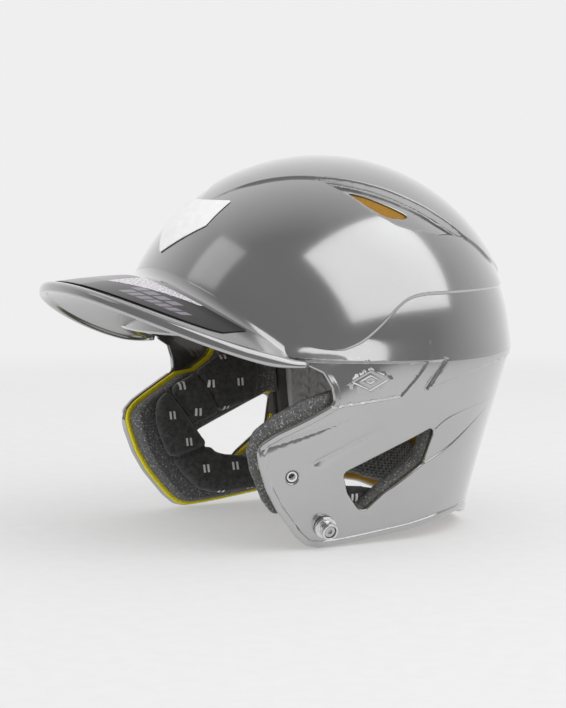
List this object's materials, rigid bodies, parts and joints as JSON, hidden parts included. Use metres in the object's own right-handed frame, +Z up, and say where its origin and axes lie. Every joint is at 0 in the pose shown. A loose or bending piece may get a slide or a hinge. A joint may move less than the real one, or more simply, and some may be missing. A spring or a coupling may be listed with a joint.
{
  "type": "batting helmet",
  "caption": "Hard-shell baseball batting helmet with a brim, ear flaps with ear openings, foam liners, fabric pads and snap studs for a chin strap.",
  "frame": {"origin": "centre of the head opening in the plane the helmet stands on, below the middle of the crown", "axes": "+Z up, -Y out of the front over the brim, +X towards the wearer's left"},
  "size_m": [0.208, 0.289, 0.218],
  "materials": {
    "shell_grey": "high-gloss moulded ABS in mid grey",
    "liner_yellow": "fine-celled yellow foam",
    "foam_charcoal": "charcoal foam with light specks",
    "pad_fabric": "black brushed knit over foam",
    "pad_mesh": "black open mesh over foam",
    "tread_grey": "grey moulded pad with a zigzag tread",
    "stud_metal": "bright nickel plate",
    "screw_steel": "zinc-plated steel",
    "nut_white": "white enamel",
    "emblem_white": "white vinyl",
    "decal_film": "printed film"
  },
  "bodies": {
    "helmet": {"shell": "shell_grey", "crown_liner": "liner_yellow", "rear_liner": "liner_yellow", "left_flap_liner": "liner_yellow", "right_flap_liner": "liner_yellow", "left_ear_foam": "foam_charcoal", "right_ear_foam": "foam_charcoal", "left_ear_cushion": "pad_fabric", "right_ear_cushion": "pad_fabric", "left_temple_pad": "pad_fabric", "right_temple_pad": "pad_fabric", "front_pad": "pad_fabric", "crown_pad": "pad_fabric", "rear_pad": "tread_grey", "nape_pad": "pad_mesh", "left_snap_stud": "stud_metal", "right_snap_stud": "stud_metal", "left_stud_t_nut": "nut_white", "right_stud_t_nut": "nut_white", "left_face_guard_t_nut": "nut_white", "right_face_guard_t_nut": "nut_white", "front_emblem": "emblem_white", "brim_decal": "decal_film"},
    "left_stud_screw": {"left_stud_screw": "screw_steel"},
    "right_stud_screw": {"right_stud_screw": "screw_steel"}
  },
  "joints": [
    {"name": "left_screw_turn", "type": "hinge", "parent": "helmet", "child": "left_stud_screw", "pos_m": [0.08566, -0.047, 0.013], "axis": [0.9608, -0.0764, -0.2663], "continuous": true},
    {"name": "right_screw_turn", "type": "hinge", "parent": "helmet", "child": "right_stud_screw", "pos_m": [-0.08566, -0.047, 0.013], "axis": [-0.9608, -0.0764, -0.2663], "continuous": true}
  ]
}
